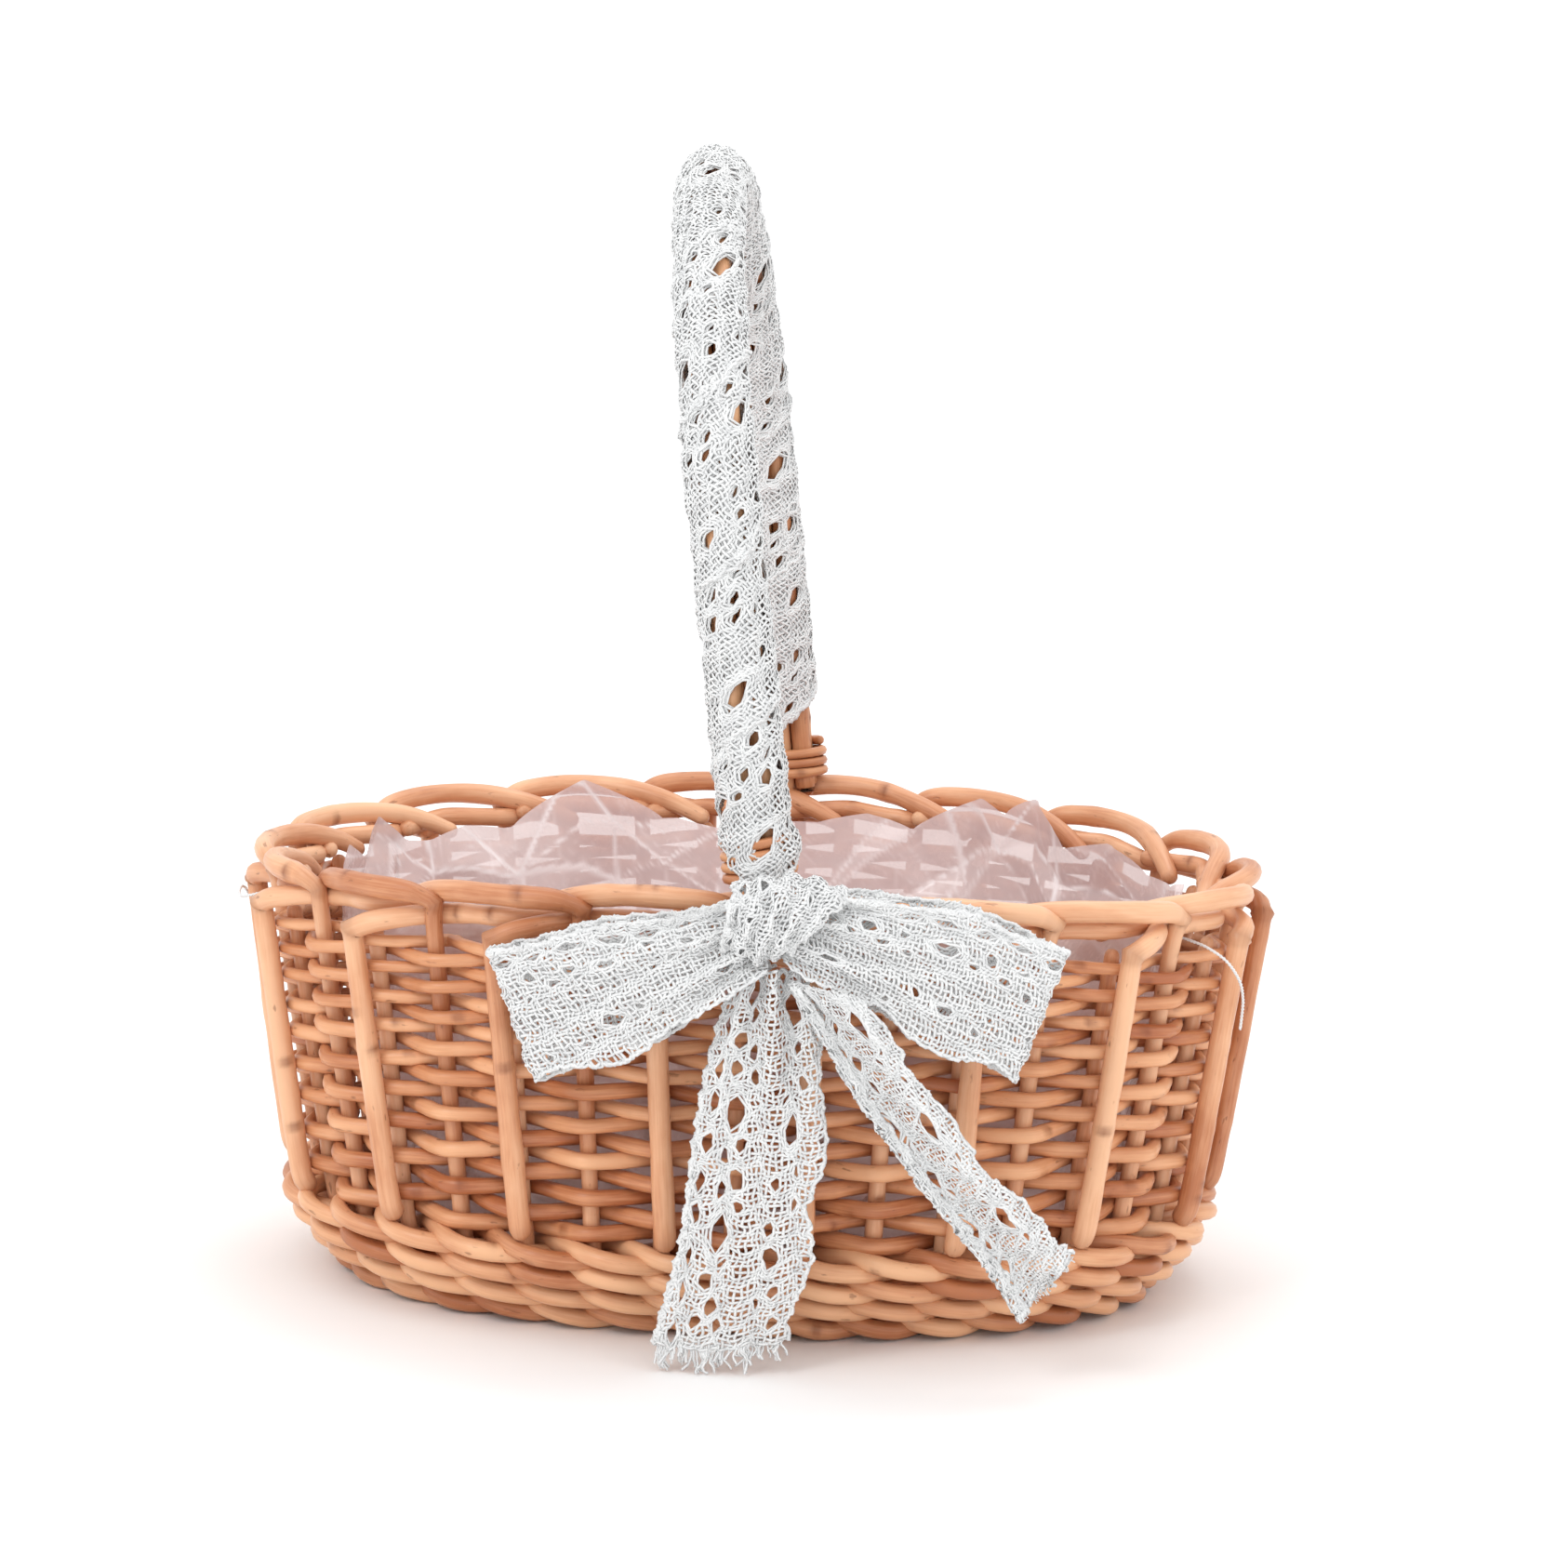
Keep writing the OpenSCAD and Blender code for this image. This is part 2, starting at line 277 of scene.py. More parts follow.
def willow(name, pale, mid, deep, gloss=0.42):
    """Peeled, varnished willow: long fibre streaks, small dark flecks, dark knots, and painted shade in
    crevices and folds.
    """
    m = Nodes(name)
    rod = m.attribute("rodco", "Vector")
    tone = m.attribute("tone")
    dark = m.attribute("dark")
    streak = m.noise(rod, 1500, 4, (0.05, 1, 1), 0.6)
    cloud = m.noise(rod, 90, 3, (0.5, 1, 1))
    shade = m.math("ADD", m.math("MULTIPLY", streak, 0.35), m.math("MULTIPLY", cloud, 0.65))
    shade = m.math("ADD", shade, m.math("MULTIPLY", m.math("SUBTRACT", tone, 0.5), 0.55), True)
    colour = m.ramp(shade, (0.28, srgb(*deep)), (0.47, srgb(*mid)), (0.66, srgb(*pale)))
    fleck = m.ramp(m.noise(rod, 620, 2, (0.35, 1, 1)), (0.69, 0.0), (0.755, 1.0))
    # the dark attribute holds dark knots, and painted shade where rods pass behind stakes and fold; both
    # are mixed in as deep brown
    knots_and_painted_shade = m.math("MULTIPLY", dark, 0.85, True)
    colour = m.mix(m.math("MULTIPLY", fleck, 0.5), colour, srgb(112, 62, 32))
    colour = m.mix(knots_and_painted_shade, colour, srgb(128, 66, 32))
    m.link(colour, m.shader.inputs["Base Color"])
    rough = m.ramp(m.noise(rod, 300, 3, (0.15, 1, 1)), (0.3, gloss - 0.08), (0.7, gloss + 0.14))
    m.link(rough, m.shader.inputs["Roughness"])
    m.set(Coat_Weight=0.16, Coat_Roughness=0.3, Specular_IOR_Level=0.45)
    height = m.math("SUBTRACT", m.math("ADD", m.math("MULTIPLY", streak, 0.5), cloud), fleck)
    m.bump(height, 0.32, 0.0005)
    return m.material


def lace_material():
    """White cotton yarn with a soft twist and a little fuzz."""
    m = Nodes("cotton_lace")
    rod = m.attribute("rodco", "Vector")
    tone = m.attribute("tone")
    twist = m.noise(rod, 2600, 2, (0.6, 1, 1))
    patch = m.noise(rod, 260, 3)
    shade = m.math("ADD", m.math("MULTIPLY", twist, 0.45), m.math("MULTIPLY", patch, 0.35))
    shade = m.math("ADD", shade, m.math("MULTIPLY", tone, 0.25), True)
    cotton = m.ramp(shade, (0.25, srgb(205, 206, 207)), (0.6, srgb(231, 232, 232)))
    m.link(cotton, m.shader.inputs["Base Color"])
    m.link(m.ramp(patch, (0.3, 0.82), (0.7, 0.95)), m.shader.inputs["Roughness"])
    m.set(Sheen_Weight=0.25, Sheen_Roughness=0.5, Specular_IOR_Level=0.2)
    m.bump(twist, 0.5, 0.0003)
    return m.material


def film_material():
    """Milky film: partly see-through, whiter and more solid along its creases."""
    m = Nodes("liner_film")
    place = m.add("ShaderNodeNewGeometry").outputs["Position"]
    crease = m.attribute("crease")
    haze = m.noise(place, 32, 3)
    fine = m.noise(place, 210, 4, None, 0.6)
    colour = m.ramp(haze, (0.3, srgb(214, 190, 188)), (0.7, srgb(230, 212, 210)))
    colour = m.mix(m.math("MULTIPLY", crease, 0.75), colour, srgb(250, 246, 246))
    m.link(colour, m.shader.inputs["Base Color"])
    m.link(m.ramp(fine, (0.3, 0.16), (0.7, 0.32)), m.shader.inputs["Roughness"])
    m.set(Specular_IOR_Level=0.5, Coat_Weight=0.3, Coat_Roughness=0.12)
    m.bump(m.math("ADD", m.math("MULTIPLY", fine, 0.3), haze), 0.12, 0.002)
    clear = m.add("ShaderNodeBsdfTransparent", {0: srgb(252, 244, 242)})
    solid = m.math("ADD", m.math("MULTIPLY", haze, 0.35), m.math("MULTIPLY", crease, 0.35))
    solid = m.math("ADD", solid, 0.62, True)
    blend = m.add("ShaderNodeMixShader", {0: solid, 1: clear.outputs[0], 2: m.shader.outputs[0]})
    m.link(blend.outputs[0], m.tree.nodes["Material Output"].inputs["Surface"])
    return m.material


stake_willow = willow("stake_willow", (232, 181, 142), (214, 154, 114), (184, 116, 76))
weaver_willow = willow("weaver_willow", (230, 173, 130), (210, 146, 103), (174, 103, 64), 0.38)
wale_willow = willow("wale_willow", (231, 178, 136), (212, 151, 110), (178, 110, 70))
handle_willow = willow("handle_willow", (225, 171, 127), (203, 140, 97), (166, 98, 60))
base_willow = willow("base_willow", (222, 170, 118), (200, 142, 92), (166, 104, 62), 0.5)
lace_cotton = lace_material()
film = film_material()


# ---- the threads, which are cords

PLY_R, PLY_OFF, PLY_TURN = 0.22, 0.2, 1.9  # a ply's radius, offset and pitch
LEFT_THREAD = [(-107, -14, 97), (-112, -15, 96.5), (-117, -16.5, 96), (-122.5, -17, 94.5), (-127, -14, 93),
               (-129.3, -8, 92.6), (-130, -1, 93), (-129.8, 5, 91), (-128.8, 9, 86), (-128, 10, 82)]
RIGHT_THREAD = [(99, -36, 97), (103, -39, 96.5), (106.4, -41.6, 96), (110.3, -44.4, 95), (115, -45.5, 92),
                (118.4, -43.5, 87), (119.6, -41, 82), (119.6, -39, 77), (119.4, -38.5, 74)]


def thread_piece(name, route, seed):
    """A two-ply thread along its route, with the two plies laid round each other."""
    line = spline(np.array(route, float), 0.5)
    run = np.arange(len(line)) * np.linalg.norm(line[1] - line[0])
    tangent = unit(np.gradient(line, axis=0))
    side = unit(np.cross(tangent, (0, 0.95, 0.3)))
    up = np.cross(side, tangent)
    turn = run / PLY_TURN * TAU
    strands = Strands()
    for ply in (0, math.pi):
        offset = PLY_OFF * (np.cos(turn + ply)[:, None] * side + np.sin(turn + ply)[:, None] * up)
        strands.sweep(line + offset, PLY_R, side, tone=0.8, sides=6, seed=seed + ply)
    piece = strands.piece(name + "_twine", lace_cotton, "thread", name)


thread_piece("liner_thread_left", LEFT_THREAD, 3)
thread_piece("liner_thread_right", RIGHT_THREAD, 5)


# ---- the wall that every rod follows

BAYS = 18  # one inner and one hidden stake in each
BAY = 1 / BAYS  # its share of the way round
BAY_L = 36  # its usual length
SQUARENESS = 2.3  # 2 is an ellipse, and more is squarer
RIM_HALF = (130.5, 93.0)  # the oval that shares of the way round are measured on
WAVE = 3.9  # how far a weaver swings out from the line of the stakes
WEAVER_REACH = 5.4  # from that line to a CAD weaver's outer face
OUTER_FACE = 10.55  # and to a CAD foot wale's outer face
UPRIGHT_OFF = 8.15  # and to the middle of an outer upright
FOOT_H, WEAVE_TOP, RIM_Z = 24, 95, 108
SADDLE = 2.5  # the rim's rise at the middle of its long sides
BORDER_RISE = 8  # the wall goes on this far above RIM_Z


def node_box(name):
    """A CAD node's lowest and highest corner, in millimetres."""
    low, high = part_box(name)
    return np.array(low) / MM, np.array(high) / MM


def wall_sizes():
    """Half length and half width of the line of the stakes, at a list of heights."""
    rows = []
    for i in range(1, 5):
        low, high = node_box(f"foot_wale_{i}")
        rows.append(((low[2] + high[2]) / 2, high[0] - OUTER_FACE, high[1] - OUTER_FACE))
    wide, deep = [], []
    for i in (1, 2, 17, 18):
        low, high = node_box(f"wall_weaver_{i:02d}")
        z = (low[2] + high[2]) / 2
        (wide if i % 2 == 0 else deep).append((z, high[i % 2] - WEAVER_REACH))
    for z in (FOOT_H, RIM_Z + BORDER_RISE):
        row = [z]
        for (za, a), (zb, b) in (wide, deep):
            row.append(a + (b - a) * (z - za) / (zb - za))
        rows.append(tuple(row))
    first, second = np.array(rows[0]), np.array(rows[1])
    rows.insert(0, tuple(first - (second - first) * first[0] / (second[0] - first[0])))
    return np.array(rows)


SIZES = wall_sizes()
OVAL_ANGLES = np.linspace(-math.pi / 2, 1.5 * math.pi, 1441)


def oval(a, b, angle):
    """Points of the basket's rounded oval with these half axes."""
    c, s = np.cos(angle), np.sin(angle)
    power = 2 / SQUARENESS
    return np.stack([a * np.sign(c) * np.abs(c) ** power, b * np.sign(s) * np.abs(s) ** power], axis=-1)


oval_steps = np.linalg.norm(np.diff(oval(*RIM_HALF, OVAL_ANGLES), axis=0), axis=1)
OVAL_SHARES = np.concatenate([[0], np.cumsum(oval_steps)]) / oval_steps.sum()


def saddle(u, z):
    """The rim stands a little higher at the middle of its long sides than at its ends."""
    return SADDLE * np.cos(2 * TAU * u) * smooth((z - FOOT_H) / (RIM_Z - FOOT_H))


def wall(u, z, off, lifted=True):
    """Points of the wall: u is the share of the way round from the front middle, off is outwards."""
    u, z, off = np.broadcast_arrays(np.asarray(u, float), np.asarray(z, float), np.asarray(off, float))
    a, b = np.interp(z, SIZES[:, 0], SIZES[:, 1]), np.interp(z, SIZES[:, 0], SIZES[:, 2])

    def at(share):
        return oval(a, b, np.interp(share % 1, OVAL_SHARES, OVAL_ANGLES))

    along = unit(at(u + 0.002) - at(u - 0.002))
    xy = at(u) + off[..., None] * np.stack([along[..., 1], -along[..., 0]], axis=-1)
    height = z + saddle(u, z) if lifted else z
    return np.concatenate([xy, height[..., None]], axis=-1)


def outward(u):
    """The wall's outward direction at u."""
    step = wall(u, 60.0, 1.0) - wall(u, 60.0, 0.0)
    step[..., 2] = 0
    return unit(step)


def rod(strands, coords, radius, rng, knots=3, sides=10, dark=0.0):
    """One willow rod along (u, z, off) rows."""
    coords = np.asarray(coords, float)
    rod_along(strands, wall(*coords.T), outward(coords[:, 0]), radius, rng, knots, sides, dark)


ROUND_END = np.array([(0.45, 0.9), (0.8, 0.62), (0.98, 0.2)])  # rings past the end: how far, how wide


def rod_along(strands, path, ref, radius, rng, knots=3, sides=10, dark=0.0):
    """One willow rod along a path in millimetres, with knots, uneven thickness and rounded ends."""
    n = len(path)
    ref = np.broadcast_to(ref, (n, 3))
    radius = np.broadcast_to(np.asarray(radius, float), (n,)).copy()
    run = np.concatenate([[0], np.cumsum(np.linalg.norm(np.diff(path, axis=0), axis=1))])
    waves = rng.uniform(0, TAU, 3)
    radius *= 1 + 0.022 * np.sin(run / 7.1 + waves[0]) + 0.018 * np.sin(run / 2.9 + waves[1])
    spots = np.zeros((n, sides))
    angle = np.arange(sides) * TAU / sides
    for place, facing in zip(rng.uniform(0.04, 0.96, knots) * run[-1], rng.uniform(0, TAU, knots)):
        near = np.exp(-((run - place) / 1.1) ** 2)
        radius += 0.13 * np.exp(-((run - place) / 1.9) ** 2)
        spots += near[:, None] * np.clip(np.cos(angle - facing), 0, 1)[None] ** 3
    # the caller's dark is painted shade at crevices and folds, added to the dark knots
    spots += np.broadcast_to(dark, (n,))[:, None]
    tone = rng.uniform(0.2, 0.8) + 0.1 * np.sin(run / 31 + waves[2])
    caps = []
    for end, inner in ((0, 1), (-1, -2)):
        away = unit(path[end] - path[inner])
        cap = path[end] + away * (ROUND_END[:, :1] * radius[end])
        caps.append((cap, radius[end] * ROUND_END[:, 1], np.repeat(spots[end][None], 3, 0) + 0.15,
                     np.repeat(tone[end], 3), np.repeat(ref[0][None], 3, 0)))
    parts = [[x[::-1] for x in caps[0]], (path, radius, spots, tone, ref), caps[1]]
    path, radius, spots, tone, ref = (np.concatenate(x) for x in zip(*parts))
    spots = np.clip(spots, 0, 1)
    strands.sweep(path, radius, ref, tone=tone, dark=spots, sides=sides, seed=rng.uniform(0, 9))


# ---- woven wall, foot and base

def zigzag(x):
    """A wave of height 1 with nearly straight sides and soft peaks, as a rod bent round stakes has."""
    return np.arcsin(0.94 * np.cos(x)) / math.asin(0.94)


TUCK_L, TUCK_IN = 0.016, 2.2  # how a course's ends turn in behind a stake


def wall_course(i):
    """One course of randing: two rods that meet behind a stake."""
    name = f"wall_weaver_{i:02d}"
    low, high = node_box(name)
    z, thick = (low[2] + high[2]) / 2, high[2] - low[2]
    rng = default_rng(100 + i)
    strands = Strands()
    turn = 0 if i % 2 else math.pi
    start = (rng.integers(0, BAYS) + (0.5 if i % 2 else 0)) * BAY
    for half in (0, 1):
        u = start + half * 0.5 + np.linspace(-0.004, 0.504, 260)
        swing = zigzag(TAU * BAYS * u + turn)
        tuck = smooth((u[0] + TUCK_L - u) / TUCK_L) + smooth((u - u[-1] + TUCK_L) / TUCK_L)
        off = WAVE * swing - TUCK_IN * tuck
        phase = rng.uniform(0, TAU, 3)
        wobble = 0.35 * np.sin(TAU * 5 * u + phase[0]) + 0.28 * np.sin(TAU * 13 * u + phase[1])
        # painted shade: the rod is darkened where it passes behind a stake, and a little along its inner
        # side
        covered = smooth((0.42 - np.abs(u * BAYS % 1 - 0.5) * 2) / 0.42)
        dark = 0.42 * covered * (swing < 0.4) + 0.1 * (swing < -0.5)
        radius = thick * 0.43 + 0.16 + 0.08 * np.sin(TAU * 2 * u + phase[2])
        rod(strands, np.column_stack([u, z + wobble, off]), radius, rng, knots=7, dark=dark)
    strands.piece(name + "_rods", weaver_willow, "weaver", name)


WALE_R = 2.2


def foot_row(i):
    """A row of three-rod waling: each rod slants down in front of two stakes and passes behind one."""
    low, high = node_box(f"foot_wale_{i}")
    z = (low[2] + high[2]) / 2
    rng = default_rng(40 + i)
    strands = Strands()
    shift = rng.integers(0, 3)
    for k in range(3):
        u = np.linspace(0, 1, 620) + rng.uniform(0, 1)
        u = np.append(u, u[-1] + 0.004)
        p = TAU * (u * 2 * BAYS - k - shift) / 3
        off = 2.1 - 7.0 * np.cos(p) + 1.5 * np.sin(p) - 0.5 * np.cos(2 * p)
        lift = 1.9 * np.sin(p) + 0.3 * np.sin(2 * p)
        phase = rng.uniform(0, TAU, 2)
        lift = lift + 0.3 * np.sin(TAU * 7 * u + phase[0]) + 0.2 * np.sin(TAU * 17 * u + phase[1])
        height = np.maximum(z + lift, WALE_R + 0.1)
        # painted shade: the rod is darkened where it passes in behind the stakes
        dark = 0.45 * smooth((3.0 - off) / 5)
        rod(strands, np.column_stack([u, height, off]), WALE_R, rng, knots=12, dark=dark)
    strands.piece(f"foot_wale_{i}_rods", wale_willow, "foot_waling", f"foot_wale_{i}")


STAKE_STEP = 1.2  # between the rings of a stake


def corner_path(*runs):
    """Splined runs that meet at sharp corners, as (u, z, off) rows."""
    scale = np.array([BAY_L * BAYS, 1, 1])
    parts = []
    for run in runs:
        part = spline(np.array(run, float) * scale, STAKE_STEP) / scale
        parts.append(part if not parts else part[1:])
    return np.vstack(parts)


def inner_stakes():
    """Stakes that fold at the rim, arch to the left over it and dive behind the next stake."""
    rng = default_rng(7)
    strands = Strands()
    b = BAY
    for k in range(BAYS):
        u = k * BAY
        lean, tall = rng.uniform(-0.05, 0.05) * b, rng.uniform(-0.5, 0.6)
        elbow = (u + lean + 0.03 * b, RIM_Z - 4.2, 0.8)
        up = [(u, 3, 0), (u, 13, 0), (u, 24, 0), (u + lean, 60, 0), (u + lean, RIM_Z - 12, 0.2), elbow]
        over = [elbow, (u - 0.12 * b, RIM_Z - 1.7 + tall / 2, 2.6), (u - 0.36 * b, RIM_Z - 0.8 + tall, 3.5),
                (u - 0.62 * b, RIM_Z - 0.6 + tall, 2.3), (u - 0.86 * b, RIM_Z - 1.2 + tall / 2, -0.6),
                (u - 1.06 * b, RIM_Z - 2.5, -3.8), (u - 1.28 * b, RIM_Z - 5.0, -6.2),
                (u - 1.46 * b, RIM_Z - 8.0, -7.2)]
        path = corner_path(up, over)
        along = np.arange(len(path)) * STAKE_STEP
        at_fold = RIM_Z - 7.5
        radius = 2.05 + 0.62 * smooth((along - at_fold - 1) / 8) - 0.5 * smooth((along - at_fold - 42) / 16)
        # painted shade: darker in the crease of the fold over the rim, and a little darker where the stake
        # stands in the woven wall above the foot; none past the fold
        dark = 0.35 * np.exp(-((along - at_fold) / 1.6) ** 2) + 0.12 * smooth((along - 20) / 30)
        dark = dark * (along < at_fold + 6)
        rod(strands, path, radius, rng, knots=4, sides=12, dark=dark)
    return strands


def outer_upright(i):
    """An outer rod, blunt at the foot, that folds at the top and runs to the right inside the border."""
    rng = default_rng(300 + i)
    u, b = (i - 0.5) * BAY, BAY
    sway = rng.uniform(-0.06, 0.06) * b
    fold = WEAVE_TOP + 2.4 + rng.uniform(-0.8, 0.8)
    foot = 26.2 + rng.uniform(-0.8, 0.8)
    elbow = (u, fold, UPRIGHT_OFF - 0.3)
    up = [(u + sway, foot, UPRIGHT_OFF - 1.0), (u + sway, foot + 5, UPRIGHT_OFF),
          (u + sway / 2, 60, UPRIGHT_OFF), elbow]
    over = [elbow, (u + 0.14 * b, fold + 2.2, 6.4), (u + 0.33 * b, fold + 3.4, 1.0),
            (u + 0.5 * b, fold + 3.6, -3.6), (u + 0.72 * b, fold + 4.2, -2.6),
            (u + 0.98 * b, fold + 4.6, 0.6), (u + 1.2 * b, fold + 4.4, -2.4),
            (u + 1.4 * b, fold + 4.4, -5.8)]
    path = corner_path(up, over)
    along = np.arange(len(path)) * STAKE_STEP
    at_fold = fold - foot
    radius = 2.68 - 0.14 * along / 70 - 0.2 * smooth((along - at_fold - 20) / 30)
    # painted shade: darker in the crease of the fold, and at the blunt foot where it meets the waling
    dark = 0.45 * np.exp(-((along - at_fold) / 1.8) ** 2) + 0.3 * np.exp(-(along / 1.8) ** 2)
    strands = Strands()
    rod(strands, path, radius, rng, knots=4, sides=12, dark=dark)
    name = f"outer_upright_{i:02d}"
    strands.piece(name + "_rod", stake_willow, "stake", name)


def hidden_stakes():
    """The stakes between the inner ones, which end in the weaving."""
    rng = default_rng(8)
    strands = Strands()
    for k in range(BAYS):
        u = (k + 0.5) * BAY
        path = spline([(u, 3, 0), (u, 24, 0), (u, 60, 0), (u, WEAVE_TOP + 0.5, 0)], 2.0)
        rod(strands, path, 1.95, rng, knots=3)
    strands.piece("hidden_stakes_rods", stake_willow, "stake", "hidden_stakes")


BASE_RINGS, BASE_STEP = 13, 4.05


def base_weave():
    """The floor: rods woven ring by ring round the base sticks, from the middle out to the foot."""
    low, high = node_box("base_weave")
    rng = default_rng(9)
    half = (high[:2] - low[:2]) / 2
    middle_z = (low[2] + high[2]) / 2
    strands = Strands()
    for j in range(BASE_RINGS):
        inset = 2.3 + BASE_STEP * j
        a, b = half[0] - inset, half[1] - inset
        angle = np.linspace(0, TAU * 1.002, max(60, int((a + b) * 2.4))) + rng.uniform(0, TAU)
        xy = oval(a, b, angle)
        around = np.arctan2(xy[:, 1], xy[:, 0])
        wave = np.cos(8 * around + math.pi * j)
        path = np.column_stack([xy, middle_z + 1.9 * wave])
        path[:, 2] = np.clip(path[:, 2], 2.4, 8.2)
        rod_along(strands, path, (0, 0, 1.0), 1.95, rng, knots=5, sides=8)
    strands.piece("base_weave_rods", base_willow, "base_weave", "base_weave")


def base_sticks(name, along_x, places):
    """Straight rods side by side through the base, at these places across it."""
    low, high = node_box(name)
    z = (low[2] + high[2]) / 2
    rng = default_rng(len(name))
    strands = Strands()
    for place in places:
        ends = (low[0] + 1, high[0] - 1) if along_x else (low[1] + 1, high[1] - 1)
        line = np.linspace(*ends, 60)
        bend = place + 0.3 * np.sin(line / 17 + place)
        path = np.column_stack([line, bend, np.full(60, z)] if along_x else [bend, line, np.full(60, z)])
        rod_along(strands, path, (0, 0, 1.0), 1.85, rng, knots=3)
    strands.piece(name + "_rods", base_willow, "base_stick", name)


for course in range(1, 19):
    wall_course(course)
for row in range(1, 5):
    foot_row(row)
inner_stakes().piece("inner_stakes_rods", stake_willow, "stake", "inner_stakes")
hidden_stakes()
for number in range(1, BAYS + 1):
    outer_upright(number)
base_weave()
base_sticks("base_sticks_long", True, (-22, 0, 22))
base_sticks("base_sticks_cross", False, (-50, -25, 0, 25, 50))


# ---- handle

HANDLE_FOOT = np.array([5.5, 0, 112.0])
HANDLE_LEAN = math.radians(7.2)
ROD_D = 5.4
BUNDLE_STEP = ROD_D / 2 + 0.05
SLEEVE_R = 7.74  # the CAD lace sleeve's radius
SLEEVE_LOW, SLEEVE_HIGH = node_box("handle_lace_wrap")
ARCH_R = (SLEEVE_HIGH[1] - SLEEVE_LOW[1]) / 2 - SLEEVE_R
LEG_L = (SLEEVE_HIGH[2] - HANDLE_FOOT[2] - SLEEVE_R) / math.cos(HANDLE_LEAN) - ARCH_R
HANDLE_RUN = 2 * LEG_L + math.pi * ARCH_R


def handle_frame(run):
    """Centre, outward axis and sideways axis of the handle at a distance from its front foot."""
    run = np.asarray(run, float)
    turn = np.clip((run - LEG_L) / ARCH_R, 0, math.pi)
    y = -ARCH_R * np.cos(turn)
    z = np.minimum(run, LEG_L) + ARCH_R * np.sin(turn) - np.maximum(run - LEG_L - math.pi * ARCH_R, 0)
    c, s = math.cos(HANDLE_LEAN), math.sin(HANDLE_LEAN)
    centre = HANDLE_FOOT + np.stack([-z * s, y, z * c], axis=-1)
    radial_y, radial_z = -np.cos(turn), np.sin(turn)
    outer = np.stack([-radial_z * s, radial_y, radial_z * c], axis=-1)
    side = np.broadcast_to((c, 0, s), centre.shape)
    return centre, outer, side


def handle_rod(i):
    """One of four rods that lean slowly round each other. The first has a tang at each foot."""
    rng = default_rng(60 + i)
    run = np.arange(-2, HANDLE_RUN + 2, 2.0)
    centre, outer, side = handle_frame(run)
    angle = math.radians(90 * i - 45) + 0.22 * np.sin(run / 70 + 0.6)
    spread = BUNDLE_STEP * math.sqrt(2) * 0.97
    path = centre + spread * (np.cos(angle)[:, None] * outer + np.sin(angle)[:, None] * side)
    strands = Strands()
    rod_along(strands, path, outer, ROD_D / 2 - 0.08, rng, knots=9, sides=14)
    if i == 1:
        for sign, u in ((-1, 0.0), (1, 0.5)):
            end = 0 if sign < 0 else -1
            beside = u - 0.011 * sign
            bend = (path[end] + wall(u, RIM_Z - 3.0, 1.0)) / 2
            points = [wall(beside, 40.0, 0.0), wall(beside, WEAVE_TOP, 0.0), bend, path[end]]
            tang = spline(points, 2.0)
            rod_along(strands, tang, (0, 1.0, 0), 1.5, rng, knots=1)
    strands.piece(f"handle_rod_{i}_willow", handle_willow, "handle_willow", f"handle_rod_{i}")


LASHING_PITCH, LASHING_R = 2.6, 7.5


def handle_lashing(name, side, turns, seed):
    """A split rod wound round one foot of the handle: side is -1 at the front and 1 at the back."""
    rng = default_rng(seed)
    t = np.linspace(0, turns, int(turns * 62))
    run = 1.5 + t * LASHING_PITCH
    centre, outer, across = handle_frame(run if side < 0 else HANDLE_RUN - run)
    angle = t * TAU
    out = np.cos(angle)[:, None] * outer + np.sin(angle)[:, None] * across
    path = centre + (LASHING_R + 0.24 * np.cos(4 * angle))[:, None] * out
    strands = Strands()
    rod_along(strands, path, out, 1.25, rng, knots=4, sides=8)
    strands.piece(name + "_rods", handle_willow, "handle_willow", name)


for number in range(1, 5):
    handle_rod(number)
handle_lashing("handle_lashing_front", -1, 4.2, 71)
handle_lashing("handle_lashing_back", 1, 3.2, 72)


# ---- lace

LACE_W = 31.0  # the strip's widest place
REPEAT = 29.5  # along the strip, from one motif to the next
PITCH = 1.2  # between two yarns of the ground
YARN_W, YARN_H = 0.68, 0.3
LADDER = 9.2  # between the openings along the straight edge
# each opening of the motif: its place across and along, its width and its length
MOTIF = [(9.0, 5.0, 3.4, 8.3), (23.0, 9.0, 3.4, 8.0), (10.6, 11.6, 1.8, 3.6), (7.9, 15.2, 2.4, 4.0),
         (11.0, 20.0, 2.3, 4.8), (7.4, 23.6, 1.9, 4.6), (12.6, 25.6, 1.5, 2.6), (25.0, 17.5, 1.2, 3.2),
         (21.4, 20.5, 1.1, 2.6), (26.0, 25.5, 1.2, 3.0), (21.0, 1.5, 1.2, 2.8)]


def lace_edge(t):
    """The scalloped edge's distance from the straight edge, at a distance along the strip."""
    scallop = 28.6 + 2.9 * np.abs(np.sin(math.pi * (t / REPEAT + 0.12)))
    return scallop + 0.45 * np.abs(np.sin(math.pi * t / 3.9))


def lace_holes(length, grow, seed):
    """Centre and half axes of each opening along a strip."""
    rng = default_rng(seed)
    holes = []
    for k in range(int(length / LADDER) + 1):
        holes.append((3.3, (k + 0.5) * LADDER, 0.65, 2.6))
    for k in range(-1, int(length / REPEAT) + 2):
        for x, y, w, h in MOTIF:
            size = grow * rng.uniform(0.8, 1.2) / 2
            across, along = x + rng.uniform(-0.5, 0.5), y + k * REPEAT + rng.uniform(-0.5, 0.5)
            holes.append((across, along, w * size, h * size))
    return [(x, y, w, h) for x, y, w, h in holes if h < y < length - h]


